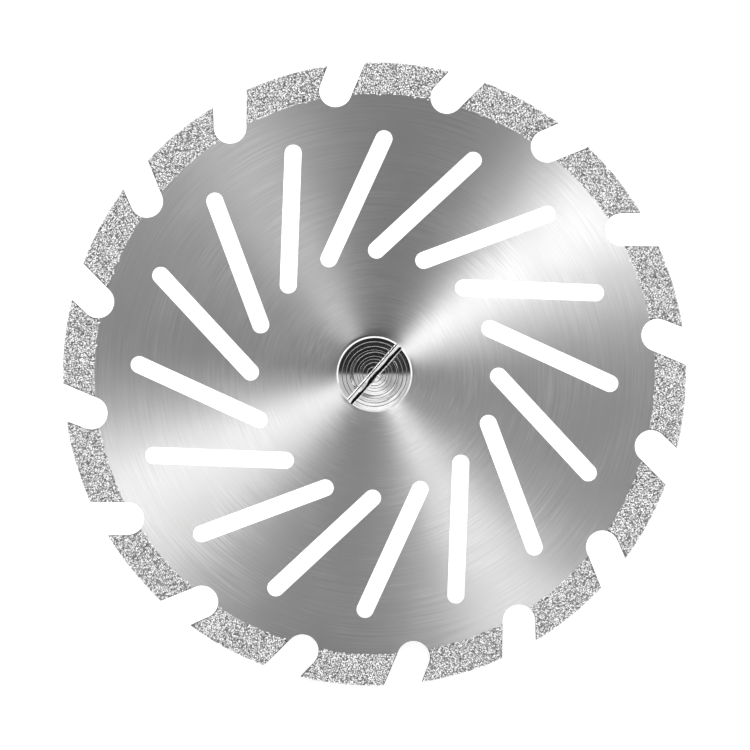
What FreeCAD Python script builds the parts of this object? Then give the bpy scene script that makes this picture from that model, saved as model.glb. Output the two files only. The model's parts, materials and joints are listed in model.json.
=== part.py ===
import FreeCAD, Part
import math
import os

import Sketcher

# Double-sided diamond disc, clamped on its screw mandrel.
#
# Every piece is drawn about the disc's own axis: local Z is that axis and
# points out of the front face, and local Z = 0 is the middle of the sheet.
# One shared placement then lays the whole tool down as it comes to rest:
# two tooth tips and the free end of the shank touch the ground (Z = 0), the
# front face looks along -Y and upwards.
#
# Millimetres and degrees throughout.

# Driving dimensions of the steel disc.
DISC_SIZES = {
    "disc_diameter": 40.0,       # across the grit at the rim
    "core_thickness": 0.25,      # the rolled steel sheet
    "bore_diameter": 2.0,        # centre hole
    "tooth_count": 16,           # segments, and as many gullets between them
    "gullet_depth": 2.72,        # rim down to the bottom of the round root
    "gullet_root_radius": 1.05,  # the round root
    "gullet_rake": 29.25,        # lean of the gullet's centre line off the radial
    "gullet_flare": 3.1,         # how much wider the mouth opens, as an angle
    "vent_count": 16,            # slanted cooling slots
    "vent_mid_radius": 11.3,     # disc centre to the middle of a slot
    "vent_length": 9.56,         # over its round ends
    "vent_width": 1.1,
    "vent_rake": 30.5,           # lean of a slot off the radial
    "vent_lag": 1.95,            # slot's middle behind the gullet's root
}

# Driving dimensions of the bonded diamond grit.
GRIT_SIZES = {
    "grit_coat": 0.12,           # layer on each face and over the rim
    "grit_band": 2.0,            # radial width of the layer
    "grit_feather": 0.06,        # sloping inner edge of the layer
}

# Driving dimensions of the clamping screw.
SCREW_SIZES = {
    "head_diameter": 4.84,
    "head_height": 0.9,
    "head_bevel": 0.16,          # turned bevel round the face
    "driver_slot_width": 0.42,
    "driver_slot_depth": 0.45,
    "driver_slot_turn": 43.6,    # slot's direction on the face
    "thread_diameter": 1.4,      # major diameter, kept as a plain cylinder
    "thread_reach": 4.2,         # from under the head to the tip
    "thread_point": 0.2,         # bevel at the tip
}

# Driving dimensions of the mandrel.
MANDREL_SIZES = {
    "shank_diameter": 2.35,      # handpiece shank
    "mandrel_length": 43.0,      # from the flange's seat to the free end
    "tail_bevel": 0.4,           # bevel at the free end
    "flange_diameter": 5.0,
    "flange_thickness": 0.9,
    "flange_bevel": 0.12,
    "relief_depth": 0.06,        # turned recess, so that the flange grips at its rim
    "relief_diameter": 3.6,
    "neck_diameter": 3.5,        # where the cone meets the flange
    "neck_length": 3.4,          # cone from the flange down to the shank
    "boss_setback": 0.05,        # the pilot boss stops this short of the disc's front
    "boss_clearance": 0.02,      # radial, boss in the bore
    "thread_clearance": 0.02,    # radial, screw in its hole
    "hole_depth": 5.4,           # full bore below the seat
}

TAPER_OF_DRILL = 59.0            # half of the drill's point angle
CUT_PAST = 1.0                   # how far a cutting sketch runs past the metal
FULL_TURN = 360.0
REST_AZIMUTH = 270.0             # a gullet's mouth points straight down here

# Values that follow from the driving dimensions: name, kind, expression.
WORKED_VALUES = [
    ("half_core", "Float", "Sizes.core_thickness / 2"),
    ("half_rim", "Float", "half_core + Sizes.grit_coat"),
    ("rim_radius", "Float", "Sizes.disc_diameter / 2"),
    ("core_radius", "Float", "rim_radius - Sizes.grit_coat"),
    ("band_radius", "Float", "rim_radius - Sizes.grit_band"),
    ("tooth_pitch", "Angle", "360 deg / Sizes.tooth_count"),
    ("root_radius", "Float", "Sizes.gullet_root_radius"),
    ("root_centre", "Float", "rim_radius - Sizes.gullet_depth + root_radius"),
    ("back_rake", "Angle", "(Sizes.gullet_rake + Sizes.gullet_flare / 2) * 1 deg"),
    ("face_rake", "Angle", "(Sizes.gullet_rake - Sizes.gullet_flare / 2) * 1 deg"),
    ("tip_behind", "Angle",
     "asin((root_centre * sin(back_rake) - root_radius) / rim_radius) - back_rake"),
    ("tip_ahead", "Angle",
     "asin((root_centre * sin(face_rake) + root_radius) / rim_radius) - face_rake"),
    ("mouth_middle", "Angle", "(tip_behind + tip_ahead) / 2"),
    ("mouth_half", "Angle", "(tip_ahead - tip_behind) / 2"),
    ("first_root", "Angle", f"{REST_AZIMUTH} deg - mouth_middle"),
    ("sector_start", "Angle", "-mouth_middle / 2"),
    ("tip_drop", "Float", "rim_radius * cos(mouth_half)"),
    ("shank_radius", "Float", "Sizes.shank_diameter / 2"),
    ("tail_corner", "Float", "half_core + Sizes.mandrel_length - Sizes.tail_bevel"),
    ("lean", "Angle", "atan((tip_drop - shank_radius) / (tail_corner - half_rim))"),
    ("rest_height", "Float", "tip_drop * cos(lean) + half_rim * sin(lean)"),
    ("reach_back", "Float",
     "(half_core + Sizes.mandrel_length) * cos(lean)"
     " + (shank_radius - Sizes.tail_bevel) * sin(lean)"),
    ("reach_front", "Float", "tip_drop * sin(lean) + half_rim * cos(lean)"),
    ("lying", "Placement",
     "placement(vector(0; (reach_front - reach_back) / 2; rest_height);"
     " rotation(vector(1; 0; 0); 90 deg - lean))"),
]


def add_sizes(doc):
    """Put every driving dimension in the sheet, one named cell each."""
    sheet = doc.addObject("Spreadsheet::Sheet", "Sizes")
    row = 1
    for group in (DISC_SIZES, GRIT_SIZES, SCREW_SIZES, MANDREL_SIZES):
        for alias, value in group.items():
            sheet.set(f"A{row}", alias)
            sheet.set(f"B{row}", str(value))
            sheet.setAlias(f"B{row}", alias)
            row += 1
    doc.recompute()


def add_worked_values(doc):
    """Add the values that follow from the sheet, and the resting placement."""
    worked = doc.addObject("App::VarSet", "Worked")
    for name, kind, expression in WORKED_VALUES:
        worked.addProperty(f"App::Property{kind}", name, "Worked")
        worked.setExpression(name, expression)
    doc.recompute()
    return worked


def new_body(doc, label, turn="0 deg"):
    """Add a body that lies with the tool, turned about the disc's axis."""
    body = doc.addObject("PartDesign::Body", label)
    body.Label = label
    body.setExpression(
        "Placement",
        f"Worked.lying * placement(vector(0; 0; 0); rotation(vector(0; 0; 1); {turn}))",
    )
    return body


def origin_feature(body, role):
    """Find one of the body's own planes or axes by its role."""
    for feature in body.Origin.OriginFeatures:
        if feature.Role == role:
            return feature
    raise ValueError(f"{body.Label} has no {role}")


def new_sketch(body, name, role, offset=None):
    """Add a sketch on one of the body's planes, moved by an expression."""
    sketch = body.newObject("Sketcher::SketchObject", name)
    sketch.AttachmentSupport = [(origin_feature(body, role), "")]
    sketch.MapMode = "FlatFace"
    if offset:
        sketch.setExpression("AttachmentOffset", offset)
    return sketch


def bind(sketch, name, constraint, expression):
    """Add a constraint under a name and tie its value to an expression."""
    index = sketch.addConstraint(constraint)
    sketch.renameConstraint(index, name)
    sketch.setExpression(f"Constraints.{name}", expression)


def draw_outline(sketch, corners):
    """Draw a closed outline of straight edges.

    Each corner is (name, across, along, start): two expressions, and the
    rough place that the solver starts from.
    """
    lines = []
    for index, (_, _, _, start) in enumerate(corners):
        end = corners[(index + 1) % len(corners)][3]
        lines.append(sketch.addGeometry(Part.LineSegment(
            FreeCAD.Vector(*start, 0), FreeCAD.Vector(*end, 0))))
    for index, line in enumerate(lines):
        following = lines[(index + 1) % len(lines)]
        sketch.addConstraint(Sketcher.Constraint("Coincident", line, 2, following, 1))
    for line, (name, across, along, start) in zip(lines, corners):
        if across == "0":
            sketch.addConstraint(Sketcher.Constraint("PointOnObject", line, 1, -2))
        else:
            bind(sketch, f"{name}_across",
                 Sketcher.Constraint("DistanceX", -1, 1, line, 1, start[0]), across)
        bind(sketch, f"{name}_along",
             Sketcher.Constraint("DistanceY", -1, 1, line, 1, start[1]), along)


def revolve(body, name, corners):
    """Turn an outline of (name, radius, height) corners about the disc's axis."""
    sketch = new_sketch(body, f"{name}_profile", "XZ_Plane")
    worked = body.Document.getObject("Worked")
    placed = []
    for corner, radius, height in corners:
        start = (float(worked.evalExpression(radius)), float(worked.evalExpression(height)))
        placed.append((corner, radius, height, start))
    draw_outline(sketch, placed)
    turned = body.newObject("PartDesign::Revolution", name)
    turned.Profile = sketch
    turned.ReferenceAxis = (sketch, ["V_Axis"])
    turned.Angle = FULL_TURN
    body.Document.recompute()
    return turned


def draw_gullet(body, name, turn):
    """Draw one gullet: a round root and two leaning flanks, open past the rim.

    The root's centre lies on the sketch's own X axis, at the angle `turn`
    from the body's X axis.
    """
    worked = body.Document.getObject("Worked")
    sketch = new_sketch(
        body, name, "XY_Plane",
        f"placement(vector(0; 0; 0); rotation(vector(0; 0; 1); {turn}))")
    centre = FreeCAD.Vector(worked.root_centre, 0, 0)
    radius = worked.root_radius
    back = math.radians(worked.back_rake.Value)
    face = math.radians(worked.face_rake.Value)
    run = 2 * (worked.rim_radius + CUT_PAST - worked.root_centre)
    along_face = FreeCAD.Vector(math.cos(face), -math.sin(face), 0)
    along_back = FreeCAD.Vector(math.cos(back), -math.sin(back), 0)
    on_face = centre + FreeCAD.Vector(math.sin(face), math.cos(face), 0) * radius
    on_back = centre - FreeCAD.Vector(math.sin(back), math.cos(back), 0) * radius

    circle = Part.Circle(centre, FreeCAD.Vector(0, 0, 1), radius)
    root = sketch.addGeometry(Part.ArcOfCircle(
        circle, math.pi / 2 - face, 3 * math.pi / 2 - back))
    face_line = sketch.addGeometry(Part.LineSegment(on_face, on_face + along_face * run))
    back_line = sketch.addGeometry(Part.LineSegment(on_back, on_back + along_back * run))
    mouth = sketch.addGeometry(Part.LineSegment(
        on_face + along_face * run, on_back + along_back * run))

    sketch.addConstraint([
        Sketcher.Constraint("PointOnObject", root, 3, -1),
        Sketcher.Constraint("Tangent", root, 1, face_line, 1),
        Sketcher.Constraint("Tangent", root, 2, back_line, 1),
        Sketcher.Constraint("Coincident", face_line, 2, mouth, 1),
        Sketcher.Constraint("Coincident", back_line, 2, mouth, 2),
        Sketcher.Constraint("Vertical", mouth),
    ])
    bind(sketch, "root_centre",
         Sketcher.Constraint("DistanceX", -1, 1, root, 3, worked.root_centre),
         "Worked.root_centre")
    bind(sketch, "root_radius", Sketcher.Constraint("Radius", root, radius),
         "Worked.root_radius")
    bind(sketch, "face_rake", Sketcher.Constraint("Angle", face_line, -face),
         "-Worked.face_rake")
    bind(sketch, "back_rake", Sketcher.Constraint("Angle", back_line, -back),
         "-Worked.back_rake")
    bind(sketch, "mouth_line",
         Sketcher.Constraint("DistanceX", -1, 1, mouth, 1, worked.rim_radius + CUT_PAST),
         f"Worked.rim_radius + {CUT_PAST}")
    return sketch


def draw_vent(body):
    """Draw one cooling slot: two round ends joined by straight sides."""
    worked = body.Document.getObject("Worked")
    sketch = new_sketch(
        body, "vent_outline", "XY_Plane",
        "placement(vector(0; 0; 0); rotation(vector(0; 0; 1); -Sizes.vent_lag * 1 deg))"
        " * placement(vector(Sizes.vent_mid_radius; 0; 0);"
        " rotation(vector(0; 0; 1); -Sizes.vent_rake * 1 deg))")
    radius = float(worked.evalExpression("Sizes.vent_width / 2"))
    half = float(worked.evalExpression("(Sizes.vent_length - Sizes.vent_width) / 2"))
    up = FreeCAD.Vector(0, 0, 1)
    outer = sketch.addGeometry(Part.ArcOfCircle(
        Part.Circle(FreeCAD.Vector(half, 0, 0), up, radius), -math.pi / 2, math.pi / 2))
    inner = sketch.addGeometry(Part.ArcOfCircle(
        Part.Circle(FreeCAD.Vector(-half, 0, 0), up, radius), math.pi / 2, 3 * math.pi / 2))
    ahead = sketch.addGeometry(Part.LineSegment(
        FreeCAD.Vector(half, radius, 0), FreeCAD.Vector(-half, radius, 0)))
    behind = sketch.addGeometry(Part.LineSegment(
        FreeCAD.Vector(-half, -radius, 0), FreeCAD.Vector(half, -radius, 0)))
    sketch.addConstraint([
        Sketcher.Constraint("Tangent", outer, 2, ahead, 1),
        Sketcher.Constraint("Tangent", ahead, 2, inner, 1),
        Sketcher.Constraint("Tangent", inner, 2, behind, 1),
        Sketcher.Constraint("Tangent", behind, 2, outer, 1),
        Sketcher.Constraint("PointOnObject", outer, 3, -1),
        Sketcher.Constraint("Symmetric", outer, 3, inner, 3, -1, 1),
    ])
    bind(sketch, "end_radius", Sketcher.Constraint("Radius", outer, radius),
         "Sizes.vent_width / 2")
    bind(sketch, "end_centre", Sketcher.Constraint("DistanceX", -1, 1, outer, 3, half),
         "(Sizes.vent_length - Sizes.vent_width) / 2")
    return sketch


def cut_through(body, name, sketch):
    """Cut a sketch right through the body, both ways from its plane."""
    body.Document.recompute()
    before = body.Shape.Volume
    pocket = body.newObject("PartDesign::Pocket", name)
    pocket.Profile = sketch
    pocket.Type = "ThroughAll"
    pocket.SideType = "Symmetric"
    body.Document.recompute()
    if pocket.Shape.Volume >= before:
        raise ValueError(f"{name} cuts nothing from {body.Label}")
    return pocket


def repeat_round(body, name, feature, count):
    """Repeat a feature evenly round the disc's axis."""
    pattern = body.newObject("PartDesign::PolarPattern", name)
    pattern.Originals = [feature]
    pattern.Axis = (origin_feature(body, "Z_Axis"), [""])
    pattern.Angle = FULL_TURN
    pattern.setExpression("Occurrences", count)
    body.Tip = pattern
    body.Document.recompute()


def make_disc_core(doc):
    """Steel sheet with its bore, leaning gullets and slanted cooling slots."""
    body = new_body(doc, "disc_core", "Worked.first_root")
    sketch = new_sketch(body, "blank_outline", "XY_Plane")
    worked = doc.getObject("Worked")
    rim = worked.core_radius
    bore = float(worked.evalExpression("Sizes.bore_diameter / 2"))
    for name, radius, expression in (("blank_radius", rim, "Worked.core_radius"),
                                     ("bore_radius", bore, "Sizes.bore_diameter / 2")):
        ring = sketch.addGeometry(Part.Circle(
            FreeCAD.Vector(0, 0, 0), FreeCAD.Vector(0, 0, 1), radius))
        sketch.addConstraint(Sketcher.Constraint("Coincident", ring, 3, -1, 1))
        bind(sketch, name, Sketcher.Constraint("Radius", ring, radius), expression)
    blank = body.newObject("PartDesign::Pad", "blank")
    blank.Profile = sketch
    blank.SideType = "Symmetric"
    blank.setExpression("Length", "Sizes.core_thickness")

    vent = cut_through(body, "vent", draw_vent(body))
    repeat_round(body, "vents", vent, "Sizes.vent_count")
    gullet = cut_through(body, "gullet", draw_gullet(body, "gullet_outline", "0 deg"))
    repeat_round(body, "gullets", gullet, "Sizes.tooth_count")
    return body


def make_diamond_segment(doc, index):
    """Cap of bonded grit that wraps one tooth: front, rim and back.

    The full ring is turned first, then cut to the one tooth between two
    neighbouring gullets, whose flanks the cap's ends share.
    """
    label = f"diamond_segment_{index + 1:02d}"
    body = new_body(doc, label, f"Worked.first_root - Worked.sector_start"
                                f" + {index} * Worked.tooth_pitch")
    ring = revolve(body, "coat", [
        ("front_edge", "Worked.band_radius", "Worked.half_core"),
        ("front_face", "Worked.band_radius + Sizes.grit_feather", "Worked.half_rim"),
        ("front_rim", "Worked.rim_radius", "Worked.half_rim"),
        ("back_rim", "Worked.rim_radius", "-Worked.half_rim"),
        ("back_face", "Worked.band_radius + Sizes.grit_feather", "-Worked.half_rim"),
        ("back_edge", "Worked.band_radius", "-Worked.half_core"),
        ("back_root", "Worked.core_radius", "-Worked.half_core"),
        ("front_root", "Worked.core_radius", "Worked.half_core"),
    ])
    ring.setExpression("Angle", "Worked.tooth_pitch")
    for end, turn in (("first", "Worked.sector_start"),
                      ("last", "Worked.sector_start + Worked.tooth_pitch")):
        cut_through(body, f"{end}_gullet", draw_gullet(body, f"{end}_gullet_outline", turn))
    return body


def make_clamp_screw(doc):
    """Slotted flat-headed screw that clamps the disc from the front."""
    body = new_body(doc, "clamp_screw", "Sizes.driver_slot_turn * 1 deg")
    top = "Worked.half_core + Sizes.head_height"
    head = "Sizes.head_diameter / 2"
    thread = "Sizes.thread_diameter / 2"
    tip = "Worked.half_core - Sizes.thread_reach"
    revolve(body, "turned_screw", [
        ("face_middle", "0", top),
        ("face_edge", f"{head} - Sizes.head_bevel", top),
        ("head_edge", head, f"{top} - Sizes.head_bevel"),
        ("seat_edge", head, "Worked.half_core"),
        ("seat_root", thread, "Worked.half_core"),
        ("point_edge", thread, f"{tip} + Sizes.thread_point"),
        ("point_flat", f"{thread} - Sizes.thread_point", tip),
        ("point_middle", "0", tip),
    ])
    body.Document.recompute()
    before = body.Shape.Volume
    worked = doc.getObject("Worked")
    half_width = float(worked.evalExpression("Sizes.driver_slot_width / 2"))
    half_run = float(worked.evalExpression(head)) + CUT_PAST
    sketch = new_sketch(
        body, "driver_slot_outline", "XY_Plane",
        f"placement(vector(0; 0; {top}); rotation(vector(0; 0; 1); 0 deg))")
    run = f"{head} + {CUT_PAST}"
    width = "Sizes.driver_slot_width / 2"
    draw_outline(sketch, [
        ("near_left", f"-({run})", f"-{width}", (-half_run, -half_width)),
        ("near_right", run, f"-{width}", (half_run, -half_width)),
        ("far_right", run, width, (half_run, half_width)),
        ("far_left", f"-({run})", width, (-half_run, half_width)),
    ])
    slot = body.newObject("PartDesign::Pocket", "driver_slot")
    slot.Profile = sketch
    slot.setExpression("Length", "Sizes.driver_slot_depth")
    body.Document.recompute()
    if slot.Shape.Volume >= before:
        raise ValueError("the driver slot cuts nothing")
    return body


def make_mandrel(doc):
    """Handpiece shank with a coned neck, clamping flange and pilot boss."""
    body = new_body(doc, "mandrel")
    seat = "-Worked.half_core"
    boss = "Sizes.bore_diameter / 2 - Sizes.boss_clearance"
    boss_top = "Worked.half_core - Sizes.boss_setback"
    hole = "Sizes.thread_diameter / 2 + Sizes.thread_clearance"
    flange = "Sizes.flange_diameter / 2"
    under = f"{seat} - Sizes.flange_thickness"
    tail = f"{seat} - Sizes.mandrel_length"
    revolve(body, "turned_mandrel", [
        ("hole_mouth", hole, boss_top),
        ("boss_edge", boss, boss_top),
        ("boss_root", boss, f"{seat} - Sizes.relief_depth"),
        ("relief_edge", "Sizes.relief_diameter / 2", f"{seat} - Sizes.relief_depth"),
        ("seat_inner", "Sizes.relief_diameter / 2", seat),
        ("seat_outer", f"{flange} - Sizes.flange_bevel", seat),
        ("flange_front", flange, f"{seat} - Sizes.flange_bevel"),
        ("flange_back", flange, f"{under} + Sizes.flange_bevel"),
        ("flange_under", f"{flange} - Sizes.flange_bevel", under),
        ("neck_top", "Sizes.neck_diameter / 2", under),
        ("neck_end", "Worked.shank_radius", f"{under} - Sizes.neck_length"),
        ("tail_edge", "Worked.shank_radius", f"{tail} + Sizes.tail_bevel"),
        ("tail_flat", "Worked.shank_radius - Sizes.tail_bevel", tail),
        ("tail_middle", "0", tail),
        ("hole_point", "0", f"{seat} - Sizes.hole_depth - ({hole}) / tan({TAPER_OF_DRILL} deg)"),
        ("hole_bottom", hole, f"{seat} - Sizes.hole_depth"),
    ])
    return body


def check_model(doc, pieces):
    """Stop if any feature failed or any piece isn't one whole, valid solid."""
    for item in doc.Objects:
        if "Invalid" in item.State or "Error" in item.State:
            raise ValueError(f"{item.Name} failed: {item.State}")
    for piece in pieces:
        shape = piece.Shape
        if shape.isNull() or not shape.isValid():
            raise ValueError(f"{piece.Label} has no valid shape")
        if len(shape.Solids) != 1:
            raise ValueError(f"{piece.Label} has {len(shape.Solids)} solids")


def main():
    doc = FreeCAD.newDocument("diamond_disc")
    add_sizes(doc)
    worked = add_worked_values(doc)
    pieces = [make_disc_core(doc)]
    for index in range(DISC_SIZES["tooth_count"]):
        pieces.append(make_diamond_segment(doc, index))
    pieces.append(make_clamp_screw(doc))
    pieces.append(make_mandrel(doc))
    doc.recompute()
    check_model(doc, pieces)

    os.makedirs("parts", exist_ok=True)
    for piece in pieces:
        piece.Shape.exportStep(f"parts/{piece.Label}.step")
        box = piece.Shape.BoundBox
        print(f"{piece.Label}: {piece.Shape.Volume:.3f} mm3,"
              f" Z {box.ZMin:.3f} to {box.ZMax:.3f}, Y {box.YMin:.3f} to {box.YMax:.3f}")
    print(f"lean {worked.lean.Value:.3f} deg, rest height {worked.rest_height:.3f} mm")


main()
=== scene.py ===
import json
import logging
import math
from collections.abc import Callable, Iterator, Sequence
from contextlib import contextmanager
from dataclasses import dataclass, field
from enum import Enum

import bpy
import numpy as np
from bpy.types import Material, MeshPolygon, Node, NodeSocket, NodeTree, Object
from mathutils import Matrix, Vector
from mathutils.bvhtree import BVHTree


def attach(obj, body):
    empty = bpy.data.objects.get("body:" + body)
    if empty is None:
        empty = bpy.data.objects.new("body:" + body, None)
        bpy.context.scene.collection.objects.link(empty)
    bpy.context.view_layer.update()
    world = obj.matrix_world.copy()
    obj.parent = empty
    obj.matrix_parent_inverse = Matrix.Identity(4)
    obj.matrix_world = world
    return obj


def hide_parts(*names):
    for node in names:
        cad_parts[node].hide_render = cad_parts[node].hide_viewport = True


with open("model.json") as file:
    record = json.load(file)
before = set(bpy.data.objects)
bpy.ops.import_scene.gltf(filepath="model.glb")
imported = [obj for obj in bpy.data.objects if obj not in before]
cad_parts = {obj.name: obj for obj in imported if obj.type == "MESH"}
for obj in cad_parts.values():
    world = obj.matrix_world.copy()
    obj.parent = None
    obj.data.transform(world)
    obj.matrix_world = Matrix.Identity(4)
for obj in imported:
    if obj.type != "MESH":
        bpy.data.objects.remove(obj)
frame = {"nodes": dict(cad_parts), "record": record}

LOG = logging.getLogger("diamond_disc")

MM = 0.001                        # one millimetre in the scene's metres
WELD = 1e-4                       # points nearer than this, in millimetres, are one point
NOISE_LOW, NOISE_HIGH = 0.3, 0.7  # a noise's values lie mostly between these
NOISE_MEAN = 0.5
WHITE = (1.0, 1.0, 1.0, 1.0)

# The photograph's frame, in its own pixels, and where the disc lies in it.
PHOTO_SIDE_PX = 750
DISC_CENTRE_PX = (374.5, 374.1)
DISC_RADIUS_PX = 312.2
PHOTO_ROLL_DEG = 5.2              # how far the photo's disc is turned from the resting one

Seat = tuple[np.ndarray, np.ndarray]                 # a crystal's place and its way out
Crystal = tuple[np.ndarray, list[tuple[int, ...]]]   # its points and faces


def linear_from_hex(code: str) -> tuple[float, float, float, float]:
    """Turn an sRGB hex colour into the linear values that shaders take.

    Args:
        code: Six hex digits, such as "8a8a8a".

    Returns:
        Linear red, green, blue by the sRGB curve, and an alpha of one.
    """
    channels = [int(code[i:i + 2], 16) / 255 for i in (0, 2, 4)]
    linear = [c / 12.92 if c <= 0.04045 else ((c + 0.055) / 1.055) ** 2.4 for c in channels]
    return (*linear, 1.0)


def add_node(tree: NodeTree, kind: str, inputs: dict | None = None,
             output: int | str = 0, **settings: object) -> NodeSocket:
    """Add one node with its settings and links.

    Args:
        tree: The node tree that it goes into.
        kind: The node's type name, without "ShaderNode".
        inputs: Socket names or numbers, each with a plain value or an output to link.
        output: The output that is wanted.
        settings: The node's own settings.

    Returns:
        The wanted output.
    """
    node = tree.nodes.new("ShaderNode" + kind)
    for name, value in settings.items():
        setattr(node, name, value)
    for name, value in (inputs or {}).items():
        if isinstance(value, NodeSocket):
            tree.links.new(value, node.inputs[name])
        else:
            node.inputs[name].default_value = value
    return node.outputs[output]


@dataclass(frozen=True)
class ToolAxis:
    """Where the tool lies: the middle of the disc and the way its front looks.

    Bench coordinates are millimetres about the disc's middle: X to the right,
    Y up the disc's face and Z out of its front.
    """

    centre: Vector            # the disc's middle, in the scene's metres
    front: Vector             # unit vector out of the disc's front
    rim_radius: float         # over the grit, in metres
    rim_front: float          # from the middle to the grit's front, in metres

    @classmethod
    def from_frame(cls) -> "ToolAxis":
        """Read the axis from the shank's mount and the disc's own solids.

        Returns:
            The tool's axis.
        """
        shank = next(m for m in frame["record"]["mounts"] if m["name"] == "handpiece_shank")
        front = -Vector(shank["axis"]).normalized()
        on_axis = Vector(shank["pos_m"])
        heights = [v.co.dot(front) for v in frame["nodes"]["disc_core"].data.vertices]
        middle = (min(heights) + max(heights)) / 2
        centre = on_axis + front * (middle - on_axis.dot(front))
        rim = [v.co - centre for v in frame["nodes"]["diamond_segment_01"].data.vertices]
        radius = max((p - front * p.dot(front)).length for p in rim)
        return cls(centre, front, radius, max(p.dot(front) for p in rim))

    @property
    def turn(self) -> Matrix:
        """Rotation from bench directions to the scene's.

        Returns:
            The rotation, with the bench's own directions as its columns.
        """
        right = Vector((1.0, 0.0, 0.0))
        up = self.front.cross(right)
        return Matrix((right, up, self.front)).transposed()

    @property
    def to_scene(self) -> Matrix:
        """Bench millimetres to the scene's metres."""
        return Matrix.Translation(self.centre) @ self.turn.to_4x4() @ Matrix.Scale(MM, 4)

    def photo_direction(self, azimuth: float) -> Vector:
        """Direction in the disc's plane.

        Args:
            azimuth: Degrees anticlockwise from the photo's right-hand side.

        Returns:
            A unit vector in the scene.
        """
        angle = math.radians(azimuth - PHOTO_ROLL_DEG)
        return self.turn @ Vector((math.cos(angle), math.sin(angle), 0.0))


TOOL = ToolAxis.from_frame()


def select_only(piece: Object) -> None:
    """Select one piece, make it the active one and drop every other.

    Args:
        piece: The object to select.
    """
    bpy.ops.object.select_all(action="DESELECT")
    bpy.context.view_layer.objects.active = piece
    piece.select_set(True)


@contextmanager
def editing(piece: Object) -> Iterator[None]:
    """Open a piece in edit mode with everything selected, and close it again.

    Args:
        piece: The mesh object to edit.
    """
    select_only(piece)
    bpy.ops.object.mode_set(mode="EDIT")
    bpy.ops.mesh.select_mode(type="VERT")
    bpy.ops.mesh.select_all(action="SELECT")
    yield
    bpy.ops.object.mode_set(mode="OBJECT")


def pick_points(piece: Object, test: Callable[[Vector], bool]) -> None:
    """Select only the points of an open piece that pass a test.

    Args:
        piece: The mesh object in edit mode.
        test: Takes a point's place and says whether it is wanted.
    """
    bpy.ops.mesh.select_all(action="DESELECT")
    bpy.ops.object.mode_set(mode="OBJECT")
    for vertex in piece.data.vertices:
        vertex.select = test(vertex.co)
    bpy.ops.object.mode_set(mode="EDIT")


def apply_modifiers(piece: Object) -> None:
    """Apply every modifier of a piece in order.

    Args:
        piece: The object that carries them.
    """
    select_only(piece)
    for modifier in list(piece.modifiers):
        bpy.ops.object.modifier_apply(modifier=modifier.name)


def join_pieces(pieces: Sequence[Object]) -> Object:
    """Join pieces into the first one.

    Args:
        pieces: The objects to join.

    Returns:
        The joined piece.
    """
    select_only(pieces[0])
    for piece in pieces[1:]:
        piece.select_set(True)
    bpy.ops.object.join()
    return pieces[0]


def add_square(name: str, side: float) -> Object:
    """Add a flat square at the origin.

    Args:
        name: The new piece's name.
        side: The length of its sides.

    Returns:
        The square.
    """
    bpy.ops.object.select_all(action="DESELECT")
    bpy.ops.mesh.primitive_plane_add(size=side)
    square = bpy.context.object
    square.name = name
    return square


def draw_line(places: Sequence[tuple[float, float, float]], lift: float = 0.0) -> None:
    """Turn the square that is open in edit mode into a line, and leave it all selected.

    Args:
        places: Where its points go, in bench millimetres.
        lift: How much higher than that the whole line lies.
    """
    bpy.ops.mesh.merge(type="CENTER")
    x, y, z = places[0]
    bpy.ops.transform.translate(value=(x, y, z + lift))
    for place, following in zip(places, places[1:]):
        move = [there - here for here, there in zip(place, following)]
        bpy.ops.mesh.extrude_vertices_move(TRANSFORM_OT_translate={"value": move})
    bpy.ops.mesh.select_all(action="SELECT")


def turn_profile(name: str, profile: Sequence[tuple[float, float]], steps: int) -> Object:
    """Turn a profile about the tool's axis, as on a lathe.

    Args:
        name: The new piece's name.
        profile: Radius and height of each corner, from axis to axis.
        steps: Flats round the turn.

    Returns:
        The closed piece, in bench millimetres.
    """
    piece = add_square(name, 1.0)
    with editing(piece):
        draw_line([(radius, 0.0, height) for radius, height in profile])
        bpy.ops.mesh.spin(steps=steps, angle=math.tau, center=(0, 0, 0), axis=(0, 0, 1))
        bpy.ops.mesh.select_all(action="SELECT")
        bpy.ops.mesh.remove_doubles(threshold=WELD)
        bpy.ops.mesh.normals_make_consistent(inside=False)
    return piece


def shade_smooth(piece: Object, angle: float) -> None:
    """Shade a piece smooth, but for its sharp edges.

    Args:
        piece: The mesh object.
        angle: An edge with a greater angle stays sharp, in degrees.
    """
    select_only(piece)
    bpy.ops.object.shade_smooth_by_angle(angle=math.radians(angle))


def lay_in_place(piece: Object) -> None:
    """Take a finished piece from the bench to its place in the scene.

    Args:
        piece: The mesh object, which ends at the origin, unturned and unscaled.
    """
    piece.data.transform(piece.matrix_world)
    piece.matrix_world = Matrix.Identity(4)
    piece.data.transform(TOOL.to_scene)


def bench_copy(node: str, name: str) -> Object:
    """Copy a solid of the frame to the bench, with its points welded.

    Args:
        node: The frame's node.
        name: The copy's name.

    Returns:
        The copy, in bench millimetres.
    """
    mesh = frame["nodes"][node].data.copy()
    mesh.name = name
    piece = bpy.data.objects.new(name, mesh)
    bpy.context.scene.collection.objects.link(piece)
    mesh.transform(TOOL.to_scene.inverted())
    with editing(piece):
        bpy.ops.mesh.remove_doubles(threshold=WELD)
    return piece


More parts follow.
